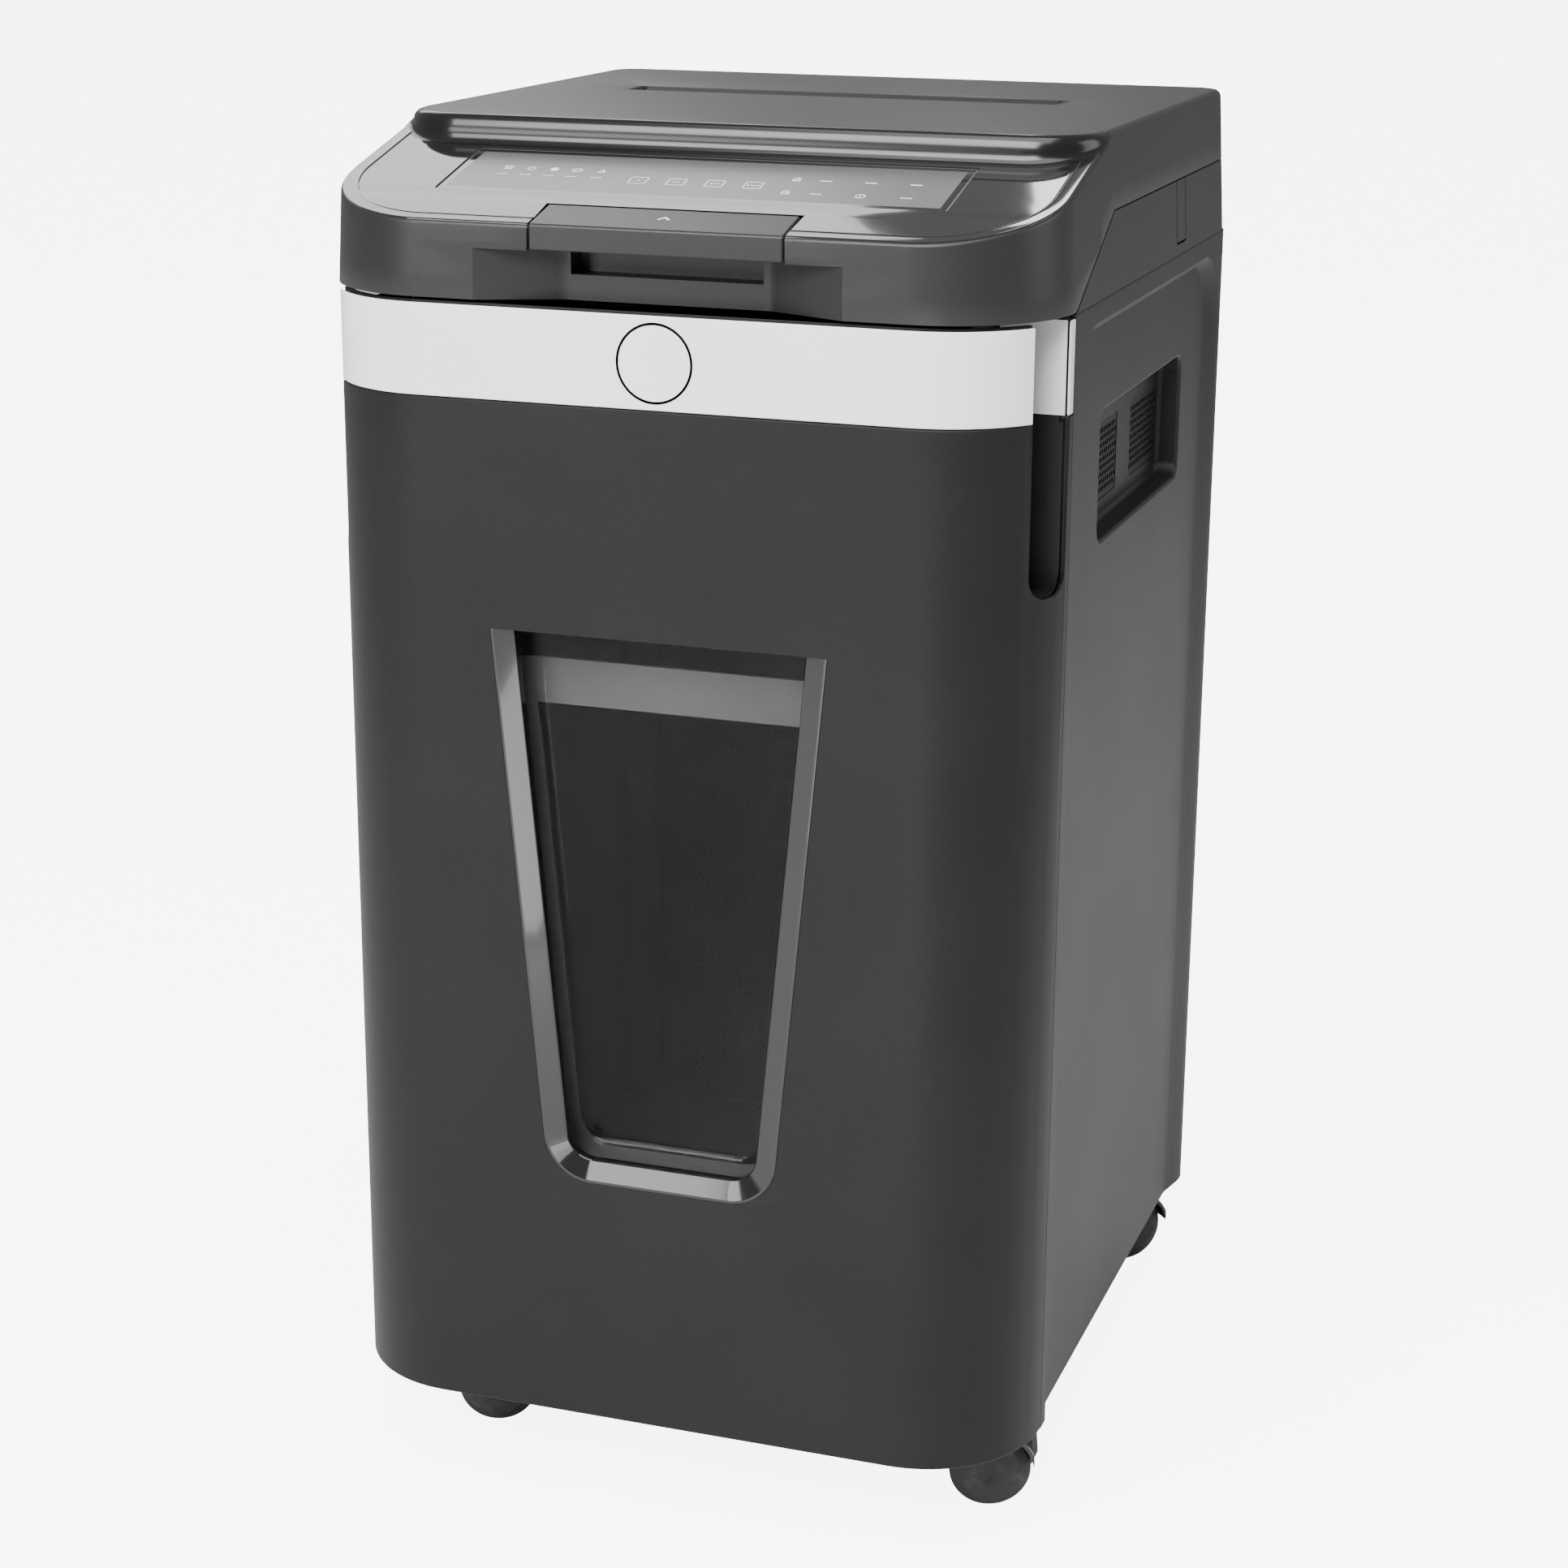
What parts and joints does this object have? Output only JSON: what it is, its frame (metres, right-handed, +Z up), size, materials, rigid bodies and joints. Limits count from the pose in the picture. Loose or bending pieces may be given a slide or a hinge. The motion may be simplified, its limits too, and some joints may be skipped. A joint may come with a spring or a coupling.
{
  "type": "paper shredder",
  "caption": "Auto-feed paper shredder on swivel casters, with a lift-up lid, a hand-feed slot, a windowed pull-out bin drawer and a touch strip.",
  "frame": {"origin": "centre of the footprint, on the floor under the casters", "axes": "+Z up, -Y towards the drawer's front, +X to the right of someone facing the front"},
  "size_m": [0.4, 0.45, 0.754],
  "materials": {
    "front_plastic": "fine satin texture",
    "side_plastic": "fine satin texture",
    "lid_plastic": "satin with polished front panel",
    "gloss_black": "piano black",
    "touch_glass": "smooth smoked panel",
    "white_band": "satin white",
    "silver": "fine brushed",
    "clear_window": "clear polystyrene",
    "bin_plastic": "moulded grey",
    "inner_plastic": "moulded black",
    "galvanised": "zinc plated",
    "hard_steel": "oiled hardened steel",
    "gear_steel": "sintered steel",
    "nylon": "natural nylon",
    "motor_paint": "black lacquer",
    "board_green": "solder mask",
    "roller_rubber": "ground rubber",
    "caster_plastic": "black nylon",
    "spring_steel": "bright wire"
  },
  "bodies": {
    "cabinet": {"base_tray": "inner_plastic", "side_panel_right": "side_plastic", "side_panel_left": "side_plastic", "rear_panel": "side_plastic", "side_grilles": "inner_plastic", "case_screws": "galvanised", "drawer_rails": "inner_plastic", "head_housing": "lid_plastic", "feed_tray": "inner_plastic", "hinge_brackets": "galvanised", "support_deck": "inner_plastic", "cutter_side_plates": "galvanised", "cutter_tie_rods": "galvanised", "shaft_bushes": "nylon", "stripper_combs": "inner_plastic", "motor": "motor_paint", "motor_bracket": "galvanised", "fan_frame": "inner_plastic", "control_board": "board_green", "power_inlet": "inner_plastic", "caster_plates": "galvanised"},
    "lid": {"lid_shell": "lid_plastic", "gloss_panel": "gloss_black", "touch_panel": "touch_glass", "slot_liner": "inner_plastic", "grip_scoop": "lid_plastic", "plate_springs": "spring_steel"},
    "lever": {"lift_lever": "lid_plastic"},
    "latch": {"latch_hooks": "nylon"},
    "pressure": {"pressure_plate": "nylon"},
    "drawer": {"bin_front": "front_plastic", "front_band": "white_band", "badge": "silver", "window_bezel": "gloss_black", "window_pane": "clear_window", "bin_tub": "bin_plastic"},
    "front_cutter": {"cutter_front": "hard_steel", "front_gears": "gear_steel"},
    "rear_cutter": {"cutter_rear": "hard_steel", "rear_gears": "gear_steel"},
    "front_idler": {"feed_idler_front": "nylon"},
    "rear_idler": {"feed_idler_rear": "nylon"},
    "front_roller": {"feed_roller_front": "roller_rubber"},
    "rear_roller": {"feed_roller_rear": "roller_rubber"},
    "reduction": {"idler_gear": "gear_steel"},
    "rotor": {"motor_pinion": "gear_steel"},
    "fan": {"fan_impeller": "caster_plastic"},
    "rocker": {"power_rocker": "caster_plastic"},
    "fork_front_left": {"caster_hood_front_left": "caster_plastic"},
    "wheels_front_left": {"caster_wheels_front_left": "caster_plastic"},
    "pedal_front_left": {"caster_pedal_front_left": "caster_plastic"},
    "fork_front_right": {"caster_hood_front_right": "caster_plastic"},
    "wheels_front_right": {"caster_wheels_front_right": "caster_plastic"},
    "pedal_front_right": {"caster_pedal_front_right": "caster_plastic"},
    "fork_rear_left": {"caster_hood_rear_left": "caster_plastic"},
    "wheels_rear_left": {"caster_wheels_rear_left": "caster_plastic"},
    "pedal_rear_left": {"caster_pedal_rear_left": "caster_plastic"},
    "fork_rear_right": {"caster_hood_rear_right": "caster_plastic"},
    "wheels_rear_right": {"caster_wheels_rear_right": "caster_plastic"},
    "pedal_rear_right": {"caster_pedal_rear_right": "caster_plastic"}
  },
  "joints": [
    {"name": "lid_hinge", "type": "hinge", "parent": "cabinet", "child": "lid", "pos_m": [0, 0.2215, 0.7138], "axis": [-1, 0, 0], "range_deg": [0, 70]},
    {"name": "lever_lift", "type": "hinge", "parent": "lid", "child": "lever", "pos_m": [0, -0.199, 0.714], "axis": [-1, 0, 0], "range_deg": [0, 12], "stiffness_Nm_per_rad": 0.6, "springref_deg": -8.59},
    {"name": "latch_turn", "type": "hinge", "parent": "lid", "child": "latch", "pos_m": [0, -0.175, 0.69], "axis": [-1, 0, 0], "range_deg": [0, 20]},
    {"name": "plate_press", "type": "slide", "parent": "lid", "child": "pressure", "axis": [0, 0, 1], "range_m": [0, 0.012], "stiffness_N_per_m": 250, "springref_m": -0.02, "deforming": ["plate_springs"]},
    {"name": "drawer_slide", "type": "slide", "parent": "cabinet", "child": "drawer", "axis": [0, -1, 0], "range_m": [0, 0.32]},
    {"name": "cutter_front_spin", "type": "hinge", "parent": "cabinet", "child": "front_cutter", "pos_m": [0, 0.06, 0.61], "axis": [1, 0, 0], "continuous": true},
    {"name": "cutter_rear_spin", "type": "hinge", "parent": "cabinet", "child": "rear_cutter", "pos_m": [0, 0.102, 0.61], "axis": [1, 0, 0], "continuous": true},
    {"name": "feed_idler_front_spin", "type": "hinge", "parent": "cabinet", "child": "front_idler", "pos_m": [0, 0.0555, 0.63357], "axis": [1, 0, 0], "continuous": true},
    {"name": "feed_idler_rear_spin", "type": "hinge", "parent": "cabinet", "child": "rear_idler", "pos_m": [0, 0.1065, 0.63357], "axis": [1, 0, 0], "continuous": true},
    {"name": "feed_roller_front_spin", "type": "hinge", "parent": "cabinet", "child": "front_roller", "pos_m": [0, 0.051, 0.65715], "axis": [1, 0, 0], "continuous": true},
    {"name": "feed_roller_rear_spin", "type": "hinge", "parent": "cabinet", "child": "rear_roller", "pos_m": [0, 0.111, 0.65715], "axis": [1, 0, 0], "continuous": true},
    {"name": "idler_gear_spin", "type": "hinge", "parent": "cabinet", "child": "reduction", "pos_m": [0, 0.01, 0.61], "axis": [1, 0, 0], "continuous": true},
    {"name": "motor_spin", "type": "hinge", "parent": "cabinet", "child": "rotor", "pos_m": [0, -0.03062, 0.61], "axis": [1, 0, 0], "continuous": true},
    {"name": "fan_spin", "type": "hinge", "parent": "cabinet", "child": "fan", "pos_m": [0, -0.008, 0.56], "axis": [1, 0, 0], "continuous": true},
    {"name": "rocker_tip", "type": "hinge", "parent": "cabinet", "child": "rocker", "pos_m": [0.14, 0.2195, 0.608], "axis": [-1, 0, 0], "range_deg": [0, 12]},
    {"name": "swivel_front_left", "type": "hinge", "parent": "cabinet", "child": "fork_front_left", "pos_m": [-0.15, -0.155, 0.05], "axis": [0, 0, 1], "continuous": true},
    {"name": "roll_front_left", "type": "hinge", "parent": "fork_front_left", "child": "wheels_front_left", "pos_m": [-0.13121, -0.14816, 0.023], "axis": [-0.342, 0.9397, 0], "continuous": true},
    {"name": "brake_front_left", "type": "hinge", "parent": "fork_front_left", "child": "pedal_front_left", "pos_m": [-0.11147, -0.14098, 0.037], "axis": [-0.342, 0.9397, 0], "range_deg": [0, 10]},
    {"name": "swivel_front_right", "type": "hinge", "parent": "cabinet", "child": "fork_front_right", "pos_m": [0.15, -0.155, 0.05], "axis": [0, 0, 1], "continuous": true},
    {"name": "roll_front_right", "type": "hinge", "parent": "fork_front_right", "child": "wheels_front_right", "pos_m": [0.16879, -0.14816, 0.023], "axis": [-0.342, 0.9397, 0], "continuous": true},
    {"name": "brake_front_right", "type": "hinge", "parent": "fork_front_right", "child": "pedal_front_right", "pos_m": [0.18853, -0.14098, 0.037], "axis": [-0.342, 0.9397, 0], "range_deg": [0, 10]},
    {"name": "swivel_rear_left", "type": "hinge", "parent": "cabinet", "child": "fork_rear_left", "pos_m": [-0.15, 0.177, 0.05], "axis": [0, 0, 1], "continuous": true},
    {"name": "roll_rear_left", "type": "hinge", "parent": "fork_rear_left", "child": "wheels_rear_left", "pos_m": [-0.13514, 0.19038, 0.023], "axis": [-0.6691, 0.7431, 0], "continuous": true},
    {"name": "brake_rear_left", "type": "hinge", "parent": "fork_rear_left", "child": "pedal_rear_left", "pos_m": [-0.11953, 0.20443, 0.037], "axis": [-0.6691, 0.7431, 0], "range_deg": [0, 10]},
    {"name": "swivel_rear_right", "type": "hinge", "parent": "cabinet", "child": "fork_rear_right", "pos_m": [0.15, 0.177, 0.05], "axis": [0, 0, 1], "continuous": true},
    {"name": "roll_rear_right", "type": "hinge", "parent": "fork_rear_right", "child": "wheels_rear_right", "pos_m": [0.16486, 0.19038, 0.023], "axis": [-0.6691, 0.7431, 0], "continuous": true},
    {"name": "brake_rear_right", "type": "hinge", "parent": "fork_rear_right", "child": "pedal_rear_right", "pos_m": [0.18047, 0.20443, 0.037], "axis": [-0.6691, 0.7431, 0], "range_deg": [0, 10]}
  ],
  "couplings": [
    {"joint": "latch_turn", "follows": "lever_lift", "ratio": 1.5},
    {"joint": "cutter_rear_spin", "follows": "cutter_front_spin", "ratio": -1},
    {"joint": "feed_idler_front_spin", "follows": "cutter_front_spin", "ratio": -1},
    {"joint": "feed_roller_front_spin", "follows": "cutter_front_spin", "ratio": 1},
    {"joint": "feed_idler_rear_spin", "follows": "cutter_front_spin", "ratio": 1},
    {"joint": "feed_roller_rear_spin", "follows": "cutter_front_spin", "ratio": -1},
    {"joint": "idler_gear_spin", "follows": "cutter_front_spin", "ratio": -2.5714},
    {"joint": "motor_spin", "follows": "cutter_front_spin", "ratio": 10.286}
  ]
}
